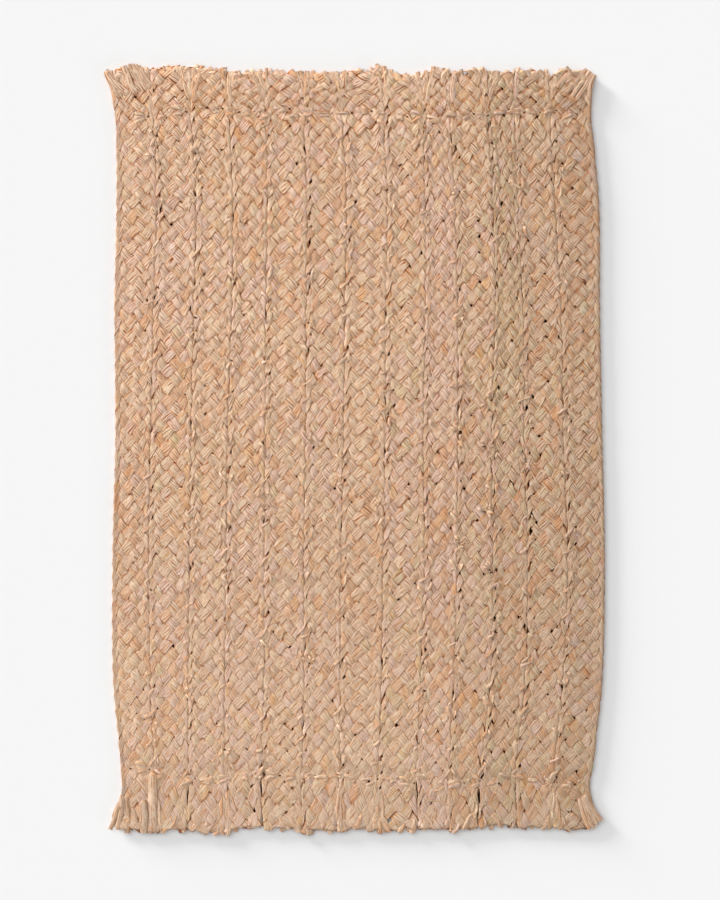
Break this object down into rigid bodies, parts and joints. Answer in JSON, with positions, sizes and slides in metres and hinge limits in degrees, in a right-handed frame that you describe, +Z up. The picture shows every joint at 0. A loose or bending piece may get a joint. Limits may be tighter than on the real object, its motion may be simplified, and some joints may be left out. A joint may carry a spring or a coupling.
{
  "type": "raffia placemat",
  "caption": "Flat oblong table mat of plaited raffia strips sewn edge to edge, with a row of stitches near each raw end.",
  "frame": {"origin": "middle of the mat's underside, on the table", "axes": "+Y along the mat and its strips, towards the end that is uppermost in the picture; +X across the strips; +Z up out of the table"},
  "size_m": [0.3229, 0.5, 0.0036],
  "materials": {
    "raffia_plait": "matt dry raffia strands in mixed tans",
    "raffia_thread": "matt pale raffia sewing strand"
  },
  "bodies": {
    "root": {"strip_01": "raffia_plait", "strip_02": "raffia_plait", "strip_03": "raffia_plait", "strip_04": "raffia_plait", "strip_05": "raffia_plait", "strip_06": "raffia_plait", "strip_07": "raffia_plait", "strip_08": "raffia_plait", "strip_09": "raffia_plait", "strip_10": "raffia_plait", "strip_11": "raffia_plait", "strip_12": "raffia_plait", "strip_13": "raffia_plait", "stitch_row_top": "raffia_thread", "stitch_row_bottom": "raffia_thread"}
  },
  "joints": []
}
